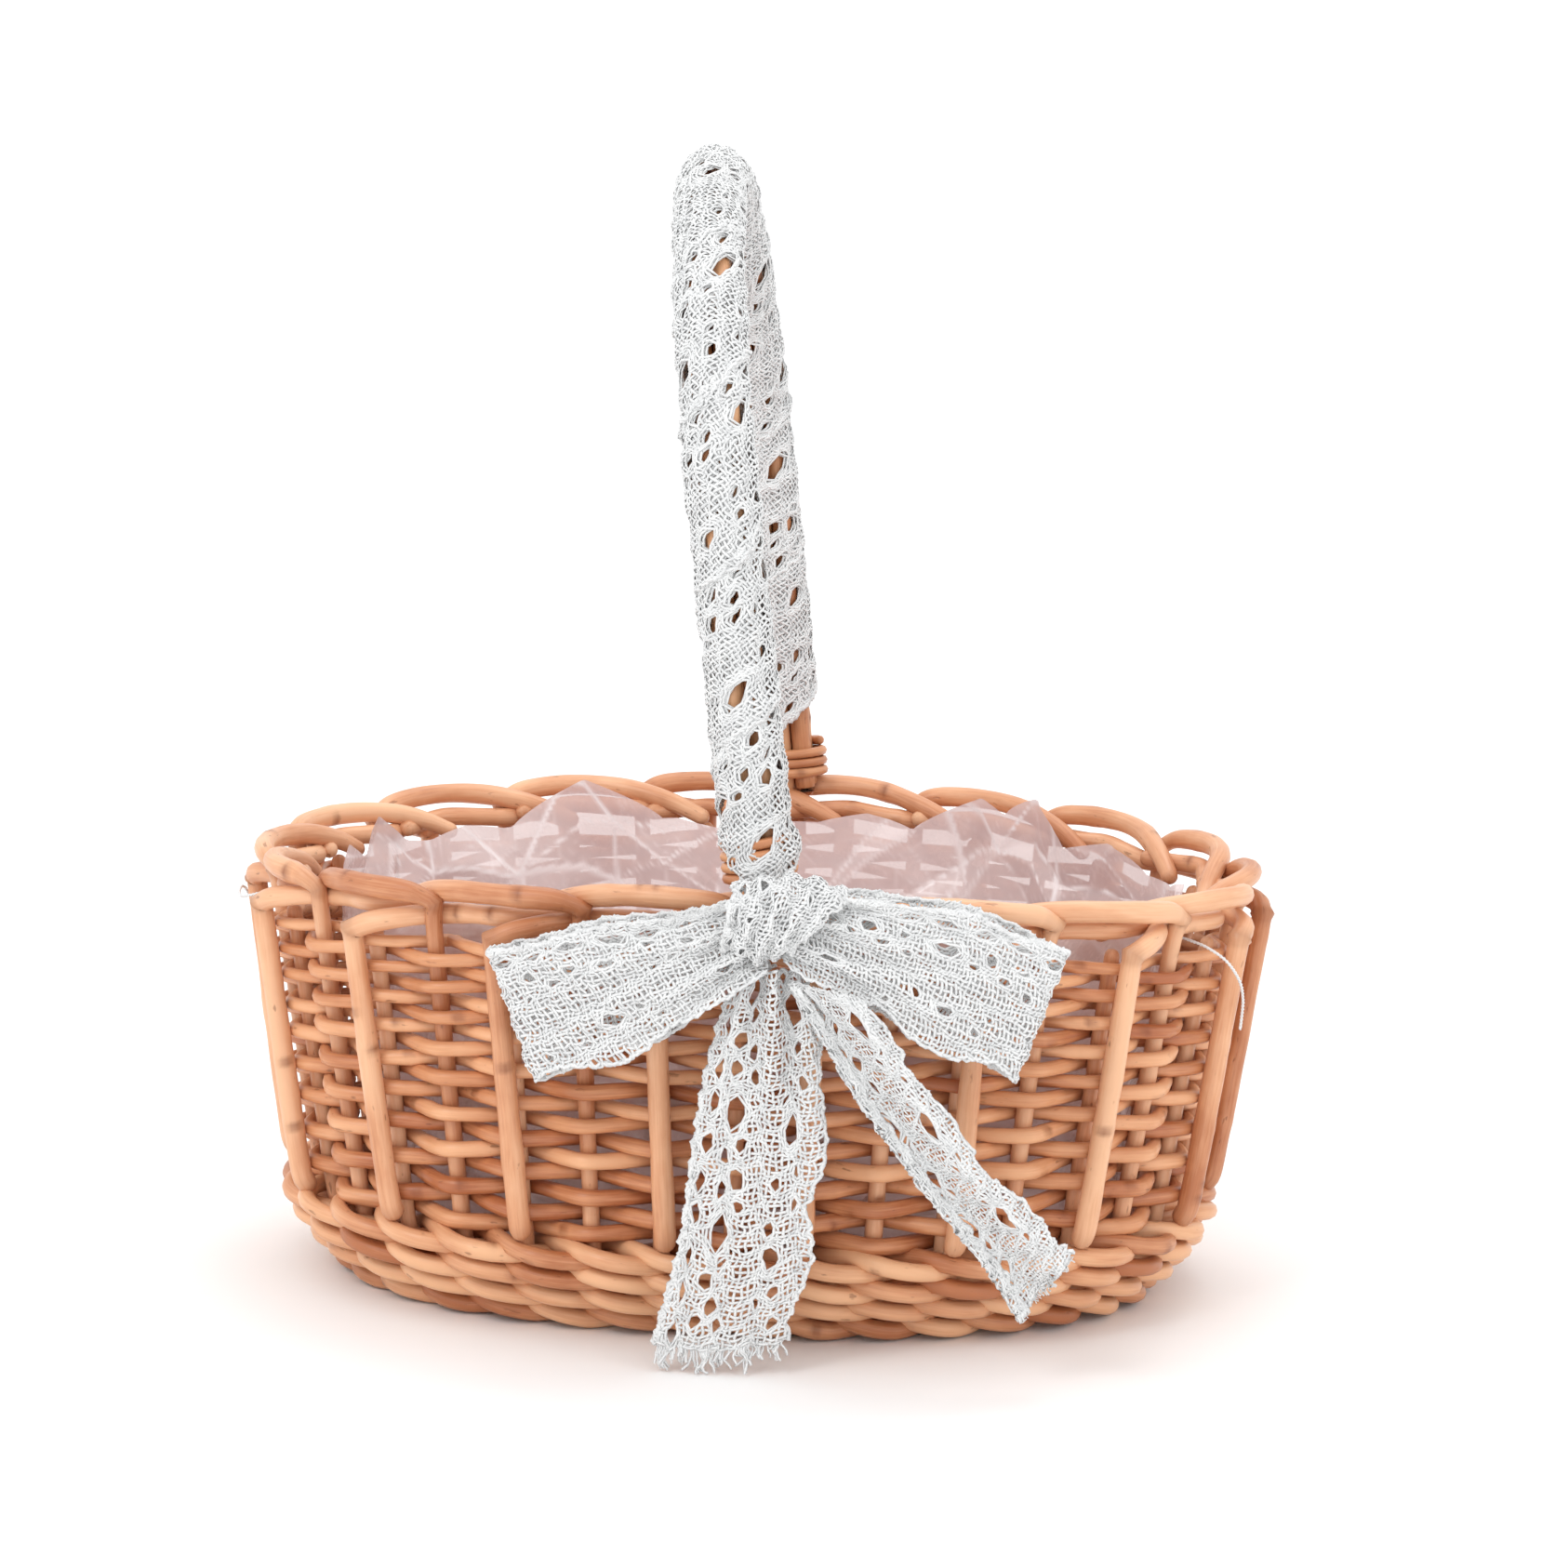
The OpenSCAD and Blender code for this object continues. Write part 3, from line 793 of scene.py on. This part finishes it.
def open_holes(st, holes, slant):
    """Pushes yarn out of the openings and bunches it round them. Their long axes lean by the slant."""
    reach = 1.75  # how far the bunching goes, in half axes
    turn = np.array([[math.cos(slant), math.sin(slant)], [-math.sin(slant), math.cos(slant)]])
    for x, y, a, b in holes:
        x = (math.floor(x / PITCH) + 0.5) * PITCH + 0.03
        y = (math.floor(y / PITCH) + 0.5) * PITCH + 0.02
        axes = np.array([a, b]) + YARN_W * 0.35
        near = np.abs(st[:, 1] - y) < axes[1] * reach
        q = (st[near] - (x, y)) @ turn.T / axes
        r = np.maximum(np.linalg.norm(q, axis=1), 1e-3)
        moved = np.where(r < reach, 1 + (reach - 1) * r / reach, r)
        st[near] = (x, y) + (q * (moved / r)[:, None] * axes) @ turn


def uneven(st, rng, amount):
    """Hand-made unevenness: soft waves that shift the yarns both ways, and ridges that lift them."""
    s, t = st.T
    shift, lift = np.zeros_like(st), np.zeros(len(st))
    for length in (3.4, 5.2, 8.5, 2.5):
        heading, phase = rng.uniform(0, TAU), rng.uniform(0, TAU, 3)
        wave = (s * math.cos(heading) + t * math.sin(heading)) * TAU / length
        shift += 0.05 * length * np.stack([np.sin(wave + phase[0]), np.sin(wave + phase[1])], axis=1)
        lift += 0.035 * length * np.sin(wave + phase[2])
    return st + amount * shift, amount * lift


class Yarns:
    """Collects flat yarns as points across and along a strip, with their height and thickness."""

    def __init__(self):
        self.flat, self.high, self.wide, self.starts, self.count = [], [], [], [], 0

    def add(self, points, height, width):
        self.starts.append(self.count)
        self.flat.append(points)
        self.high.append(np.broadcast_to(height, (len(points),)))
        self.wide.append(np.full(len(points), float(width)))
        self.count += len(points)

    def joined(self):
        return np.vstack(self.flat), np.concatenate(self.high), np.concatenate(self.wide), self.starts


def lace_cloth(length):
    """The woven ground of a strip: yarns along it, and one yarn that goes back and forth across it."""
    half = PITCH / 2
    yarns = Yarns()
    rows = int(length / PITCH)
    t = np.arange(2 * rows + 1) * half
    for i in range(int(LACE_W / PITCH) + 1):
        s = i * PITCH + 0.1 * np.sin(t * 2.2 + i) + 0.05
        keep = s < lace_edge(t) - 0.2
        height = 0.2 * np.cos(math.pi * (np.arange(len(t)) / 2 + i))
        breaks = np.flatnonzero(np.diff(np.concatenate([[0], keep.astype(int), [0]])))
        for first, last in zip(breaks[::2], breaks[1::2]):
            if last - first > 4:
                yarns.add(np.column_stack([s, t])[first:last], height[first:last], 1.0)
    weft, lift = [], []
    for j in range(rows + 1):
        y = j * PITCH
        s = np.arange(0, lace_edge(np.array(y)) / half) * half
        line = np.column_stack([s, np.full(len(s), y)])
        h = -0.2 * np.cos(math.pi * (np.arange(len(s)) / 2 + j))
        turn = (s[-1] + 0.55, y + half) if j % 2 == 0 else (-0.45, y + half)
        if j % 2:
            line, h = line[::-1], h[::-1]
        weft.append(np.vstack([line, [turn]]))
        lift.append(np.append(h, 0.0))
    yarns.add(np.vstack(weft)[:-1], np.concatenate(lift)[:-1], 1.0)
    return yarns


def lace_edging(length, seed, fray):
    """The braid of the straight edge, the cords of the scalloped one, and the yarn ends of cut ends."""
    rng = default_rng(seed + 900)
    yarns = Yarns()
    t = np.arange(0, length, PITCH / 2)
    for k in range(3):
        phase = k * TAU / 3
        braid = 0.25 + 0.45 * np.cos(t * 1.9 + phase)
        yarns.add(np.column_stack([braid, t]), 0.3 * np.sin(t * 3.8 + phase), 1.2)
    for k in range(2):
        edge = lace_edge(t) + 0.15 + 0.25 * np.cos(t * 1.7 + k * math.pi)
        yarns.add(np.column_stack([edge, t]), 0.3 * np.sin(t * 3.4 + k * math.pi), 1.15)
    for end in (0, 1):
        if not fray[end]:
            continue
        for s in np.arange(0.4, LACE_W - 1.5, 0.4):
            reach = rng.uniform(2.0, 5.0) + 2.2 * max(0.0, math.sin(s * 0.62 + 1.0))
            k = np.linspace(0, 1, 13)
            curl, twist = rng.uniform(-1.5, 1.5), rng.uniform(0, TAU)
            along = (k * reach - 1.6) * (1 if end else -1) + (length if end else 0)
            along = along - 0.8 * k ** 2 * abs(curl) * np.sin(k * 5)
            across = s + 0.9 * math.sin(s * 1.4) * k ** 1.4 + curl * k ** 1.5 * np.sin(k * 4.4 + twist)
            height = 0.2 + rng.uniform(-1.2, 2.2) * k ** 1.6 * np.cos(k * 2.5)
            yarns.add(np.column_stack([across, along]), height, rng.uniform(0.7, 1.05))
    return yarns


def lay(yarns, surface, seed, holes, slant, amount):
    """Lays flat yarns on a surface, which gives a point for (across, along)."""
    st, high, wide, starts = yarns.joined()
    open_holes(st, holes, slant)
    st, lift = uneven(st, default_rng(seed), amount)
    step = 0.05
    across = surface(st[:, 0] + step, st[:, 1]) - surface(st[:, 0] - step, st[:, 1])
    along = surface(st[:, 0], st[:, 1] + step) - surface(st[:, 0], st[:, 1] - step)
    normal = unit(np.cross(across, along))
    path = surface(st[:, 0], st[:, 1]) + normal * (high + lift)[:, None]
    path[:, 2] = np.maximum(path[:, 2], YARN_H)  # no yarn reaches below the table
    tone = 0.5 + 0.35 * np.sin(st[:, 0] * 0.9 + seed) * np.sin(st[:, 1] * 0.33)
    strands = Strands()
    strands.sweep(path, YARN_W / 2 * wide, normal, tone=tone, sides=4, flat=YARN_H / YARN_W,
                  seed=seed % 7, starts=starts)
    return strands


def lace_piece(name, length, surface, seed, grow, fray=(0, 1), slant=0.0, node=None,
               amount=1.0):
    """A lace strip on a surface: its cloth, and its edging as a piece that goes with it."""
    node = node or name
    holes = lace_holes(length, grow, seed)
    cloth = lay(lace_cloth(length), surface, seed, holes, slant, amount)
    cloth = cloth.piece(name + "_lace", lace_cotton, "lace", node)
    edging = lay(lace_edging(length, seed, fray), surface, seed, [], 0.0, amount)
    edging = edging.piece(name + "_edging", lace_cotton, "lace", node)


WRAP_R = 8.05
WRAP_PITCH = 38.0  # how far one turn climbs
WRAP_START, WRAP_END = 4.0, 6.0
WRAP_LEAD = 4.0  # how far its cut end leads
LASHED_L = 17  # each foot's length with lashing under the lace
CLIMB = math.atan(WRAP_PITCH / (TAU * WRAP_R))


def wrap_surface(s, t, inset=0.0):
    """The strip climbs the handle in turns that meet edge to edge."""
    run = WRAP_START - WRAP_LEAD + t * math.sin(CLIMB) + (LACE_W - s) * math.cos(CLIMB)
    angle = (t * math.cos(CLIMB) - (LACE_W - s) * math.sin(CLIMB)) / WRAP_R
    centre, outer, side = handle_frame(np.clip(run, 1, HANDLE_RUN - WRAP_END))
    puff = 0.3 * np.sin(t / 9.0) * np.sin(s / 5.0)
    over_lashing = 1.1 * smooth((LASHED_L - np.minimum(run, HANDLE_RUN - run)) / 5)
    overlap = 0.35 * smooth((s - 27) / 4)
    r = WRAP_R * (1 + 0.02 * np.cos(4 * angle)) + overlap + puff + over_lashing - inset
    out = np.cos(angle)[:, None] * outer + np.sin(angle)[:, None] * side
    return centre + r[:, None] * out


def wrap_under(s, t):
    """The strip's second layer, half a mesh aside, which closes the small gaps of the first."""
    return wrap_surface(s + PITCH / 2, t + PITCH / 2, 0.5)


wrap_length = (HANDLE_RUN - WRAP_END - WRAP_START - LACE_W * math.cos(CLIMB)) / math.sin(CLIMB)
for label, layer in (("handle_lace_wrap", wrap_surface), ("handle_lace_wrap_under", wrap_under)):
    lace_piece(label, wrap_length, layer,
               11, grow=0.95, fray=(0, 0),
               slant=0.25, node="handle_lace_wrap", amount=0.8)


LOOP_L, LOOP_DEPTH, LOOP_Y = 128, 7.0, -99.5
LEFT_TAIL_L, RIGHT_TAIL_L, KNOT_L = 91.0, 92.0, 62.0
KNOT_X = 9.0


def loop_surface(root, tip, root_half, tip_half, side):
    """A flat loop from root to tip, as (x, z): out from the knot, round a fold, and back behind."""
    root, tip = np.array(root, float), np.array(tip, float)
    axis = tip - root
    run = np.linalg.norm(axis)
    axis = axis / run
    perp = np.array([-axis[1], axis[0]])
    fold = math.pi * LOOP_DEPTH / 2
    straight = (LOOP_L - fold) / 2

    def surface(s, t):
        front = np.clip(t / straight, 0, 1)
        back = np.clip((t - straight - fold) / straight, 0, 1)
        bend = np.clip((t - straight) / fold, 0, 1) * math.pi
        reach = run * (front - back) + LOOP_DEPTH / 2 * np.sin(bend)
        y = -LOOP_DEPTH / 2 * np.cos(bend)
        share = np.clip(reach / run, 0, 1)
        half = root_half + (tip_half - root_half) * smooth(share / 0.72)
        across = (s / LACE_W - 0.5) * 2 * side
        gather = (1 - share) ** 1.5
        y = y - np.sin(math.pi * share) * 3.2 * np.where(bend < math.pi / 2, 1, -0.2)
        y = y + gather * 1.7 * np.cos(across * 8.5 + 0.6) * np.where(bend < math.pi / 2, 1, -1)
        y = y + 0.5 * np.sin(share * 9 + across * 2)
        xz = root + axis * reach[:, None] + perp * (across * half)[:, None]
        xz = xz + perp * (np.sin(share * math.pi) * 1.2)[:, None]
        return np.column_stack([xz[:, 0], y, xz[:, 1]])

    return surface


def turned_loop(surface, yaw):
    """The loop moved to its depth and turned a little about the knot's upright axis."""
    c, s = math.cos(yaw), math.sin(yaw)

    def moved(across, along):
        p = surface(across, along)
        x = p[:, 0] - KNOT_X
        return np.column_stack([KNOT_X + x * c - p[:, 1] * s, LOOP_Y + x * s + p[:, 1] * c, p[:, 2]])

    return moved


left_loop = turned_loop(loop_surface((6, 105.5), (-48, 84.0), 8.5, 15.2, 1), math.radians(-7))
lace_piece("bow_left_loop", LOOP_L, left_loop, 21, grow=0.55, fray=(0, 0))
right_loop = turned_loop(loop_surface((14, 108.0), (68, 88.5), 9.0, 15.6, -1), math.radians(7))
lace_piece("bow_right_loop", LOOP_L, right_loop, 22, grow=0.6, fray=(0, 0))


def left_tail(s, t):
    """Gathered at the knot, and hanging almost straight down in front of the wall."""
    share = t / LEFT_TAIL_L
    places = (0, 0.12, 0.27, 0.5, 0.75, 1.0)
    left = np.interp(share, places, (2.0, -2.2, -5.0, -8.0, -11.0, -16.0))
    right = np.interp(share, places, (16.5, 20.0, 21.5, 21.0, 19.0, 15.0))
    k = s / LACE_W
    x = left + (right - left) * k
    gather = (1 - smooth(share / 0.7)) ** 1.2
    y = -98.8 + 6.4 * share - 0.8 * np.sin(share * 7.0 + k * 3)
    y = y + gather * 2.0 * np.cos(k * TAU * 2.6 + 0.8) - 0.8 * np.sin(k * math.pi)
    z = 97.0 - LEFT_TAIL_L * share + 1.2 * np.sin(k * 5 + share * 3) * share
    return np.column_stack([x, y, z])


def right_tail(s, t):
    """Folded lengthwise: its left edge turned under, then a valley and a ridge."""
    share = t / RIGHT_TAIL_L
    places = (0, 0.3, 0.55, 0.8, 1.0)
    lx, lz, rx, rz = (np.interp(share, places, row) for row in (
        (13.0, 30.0, 45.5, 60.0, 68.0), (95.0, 67.0, 47.0, 29.5, 17.0),
        (29.0, 43.0, 57.0, 70.0, 80.0), (93.0, 74.5, 56.0, 43.0, 34.0)))
    k = s / LACE_W
    turned = 0.13  # the share of the width that is turned under
    lateral = np.where(k < turned, (turned - k) * 1.15, (k - turned) / (1 - turned))
    deep = np.where(k < turned, 1.3 * (1 - k / turned) * 1.6, 0)
    valley = np.sin(np.clip((k - turned) / (1 - turned), 0, 1) * TAU * 0.94)
    deep = deep + 3.1 * valley * smooth(share / 0.15 + 0.3)
    x = lx + (rx - lx) * lateral
    z = lz + (rz - lz) * lateral
    y = -104.5 + 4.6 * share + deep + 0.8 * np.sin(share * 8)
    return np.column_stack([x, y, z])


lace_piece("bow_left_tail", LEFT_TAIL_L, left_tail, 31, grow=0.95)
lace_piece("bow_right_tail", RIGHT_TAIL_L, right_tail, 32, grow=0.9)


def knot_surface(s, t):
    """A gathered band drawn round the bow's middle, with its strands slanting."""
    k = s / LACE_W - 0.5
    angle = t / KNOT_L * TAU
    up = np.cos(angle)
    wide = 10.4 + 2.3 * up
    ridge = np.cos(k * TAU * 4.2 + 0.9 * np.sin(angle))
    r_z, r_y = 9.6 + 0.75 * ridge, 6.6 + 0.9 * ridge
    bulge = 1 - 0.28 * (2 * k) ** 2
    x = 9.5 + 2.0 * up + k * 2 * wide + 1.5 * up
    y = -102.0 - r_y * bulge * np.sin(angle)
    z = 109.5 + r_z * bulge * up
    return np.column_stack([x, y, z])


lace_piece("bow_knot", KNOT_L, knot_surface, 41, grow=0.35, fray=(0, 0))


# ---- liner

def facets(u, v, across, count, rng):
    """Crumpled film: random points joined by flat triangles. Gives height and creases from 0 to 1."""
    spots = np.column_stack([rng.uniform(0, 1, count), rng.uniform(-0.1, 1.1, count)])
    lift = rng.uniform(0, 1, count)
    around = np.vstack([spots + (k, 0) for k in (-1, 0, 1)])
    lift, scaled = np.tile(lift, 3), around * (across, 1)
    keep = np.abs(around[:, 0] - 0.5) < 0.62
    scaled, lift = scaled[keep], lift[keep]
    made = delaunay_2d_cdt([Vector(p) for p in scaled], [], [], 0, 1e-6)
    corners = np.array([tuple(p) for p in made[0]])
    source = np.array([ids[0] for ids in made[3]])
    points = np.column_stack([u.ravel() * across, v.ravel()])
    height, crease = np.zeros(len(points)), np.zeros(len(points))
    for face in made[2]:
        a, b, c = corners[list(face)]
        low, high = np.minimum(np.minimum(a, b), c), np.maximum(np.maximum(a, b), c)
        near = np.flatnonzero(((points >= low) & (points <= high)).all(axis=1))
        basis = np.column_stack([b - a, c - a])
        if len(near) == 0 or abs(np.linalg.det(basis)) < 1e-9:
            continue
        w = np.linalg.solve(basis, (points[near] - a).T).T
        w = np.column_stack([1 - w.sum(axis=1), w])
        inside = w.min(axis=1) >= -1e-6
        near, w = near[inside], w[inside]
        height[near] = w @ lift[source[list(face)]]
        crease[near] = smooth((0.05 - w.min(axis=1)) / 0.05) * rng.uniform(0.2, 1.0)
    return height.reshape(u.shape), crease.reshape(u.shape)


# peaks of the liner's top edge: place round the rim, half width there, and height
PEAKS = [(0.409, 0.030, 10.5), (0.381, 0.016, 11.5), (0.581, 0.034, 11.0), (0.69, 0.018, 8.0),
         (0.735, 0.02, 5.0), (0.34, 0.03, 5.0), (0.52, 0.02, -3.0), (0.46, 0.02, 3.0), (0.64, 0.02, 2.0),
         (0.26, 0.02, 3.0)]
LINER_ASPECT = 4.6  # its length round over its height
LINER_OFF, LINER_FLOOR_OFF = -10.0, -17.5  # from the stakes to its wall and to its floor's edge


def film_liner():
    """A bag of thin film: a floor and a wall of flat facets with sharp creases, and an uneven top."""
    rng = default_rng(90)
    around, floor_rows, wall_rows = 620, 34, 100
    u = np.arange(around) / around
    low, high = node_box("liner")
    floor_z, top = low[2] + 0.6, high[2] - 1.5
    rim = wall(u, FOOT_H, LINER_FLOOR_OFF, False)
    rows = []
    for j in range(floor_rows):
        rows.append(np.column_stack([rim[:, :2] * (j + 1) / (floor_rows + 1), np.full(around, floor_z)]))
    peaks = np.zeros(around)
    for place, width, tall in PEAKS:
        gap = np.abs((u - place + 0.5) % 1 - 0.5)
        peaks += tall * np.clip(1 - gap / width, 0, 1) ** 0.8
    for j in range(wall_rows):
        share = j / (wall_rows - 1)
        z = floor_z + (top - floor_z) * share + peaks * smooth((share - 0.6) / 0.4)
        off = LINER_OFF - 8.4 * (1 - smooth(share / 0.16))
        row = wall(u, np.maximum(z, FOOT_H), off, False)
        row[:, 2] = z + saddle(u, z)
        rows.append(row)
    grid = np.stack(rows)
    flat_u = np.broadcast_to(u, grid.shape[:2])
    flat_v = np.broadcast_to(np.linspace(0, 1, len(grid))[:, None], grid.shape[:2])
    coarse, folds = facets(flat_u, flat_v, LINER_ASPECT, 150, rng)
    fine, wrinkles = facets(flat_u, flat_v, LINER_ASPECT, 900, rng)
    shares = np.linspace(0, 1, wall_rows)
    hold = np.concatenate([np.full(floor_rows, 0.3), 0.3 + 0.7 * smooth(shares / 0.25)])[:, None]
    push = (6.5 * coarse + 1.3 * fine) * hold
    grid = grid - np.stack([outward(u)] * len(grid)) * push[..., None]
    grid[:floor_rows, :, 2] += 2.2 * coarse[:floor_rows] + 0.5
    index = np.arange(grid[..., 0].size).reshape(grid.shape[:2])
    a, b = index[:-1], index[1:]
    quads = np.stack([a, np.roll(a, -1, 1), np.roll(b, -1, 1), b], axis=2).reshape(-1, 4)
    loops, sizes = [quads.ravel(), index[0][::-1]], [np.full(len(quads), 4), [around]]
    piece = mesh_piece("liner_bag", grid.reshape(-1, 3), np.concatenate(loops), np.concatenate(sizes), film,
                       "liner_film", ["liner"], crease=np.maximum(folds, 0.25 * wrinkles).ravel())


film_liner()


# ---- floor and light

FLOOR_HALF, FLOOR_Z = 60.0, -0.0003


def studio():
    """A plain pale floor, an even white surround and three soft lamps."""
    m = Nodes("studio_floor")
    place = m.add("ShaderNodeNewGeometry").outputs["Position"]
    m.link(m.ramp(m.noise(place, 3, 2), (0.3, 0.93), (0.7, 0.95)), m.shader.inputs["Base Color"])
    m.set(Roughness=0.9, Specular_IOR_Level=0.1)
    mesh = bpy.data.meshes.new("studio_floor")
    corners = [(x * FLOOR_HALF, y * FLOOR_HALF, FLOOR_Z) for x, y in ((-1, -1), (1, -1), (1, 1), (-1, 1))]
    mesh.from_pydata(corners, [], [(0, 1, 2, 3)])
    mesh.materials.append(m.material)
    floor = new_object("studio_floor", mesh)
    world = bpy.data.worlds.new("studio")
    bpy.context.scene.world = world
    world.use_nodes = True
    background = world.node_tree.nodes["Background"]
    background.inputs["Color"].default_value = (1, 1, 1, 1)
    background.inputs["Strength"].default_value = 1.12

    def softbox(name, place, size, watts):
        data = bpy.data.lights.new(name, "AREA")
        data.shape = "DISK"
        data.size = size
        data.energy = watts
        lamp = new_object(name, data)
        lamp.location = place
        lamp.rotation_euler = (Vector((0, 0, 0.1)) - Vector(place)).to_track_quat("-Z", "Y").to_euler()

    softbox("key", (-0.9, -1.3, 1.5), 0.7, 9)
    softbox("fill", (1.5, -1.0, 0.9), 1.0, 3)
    softbox("top", (0.1, 0.4, 1.6), 0.9, 5)


studio()
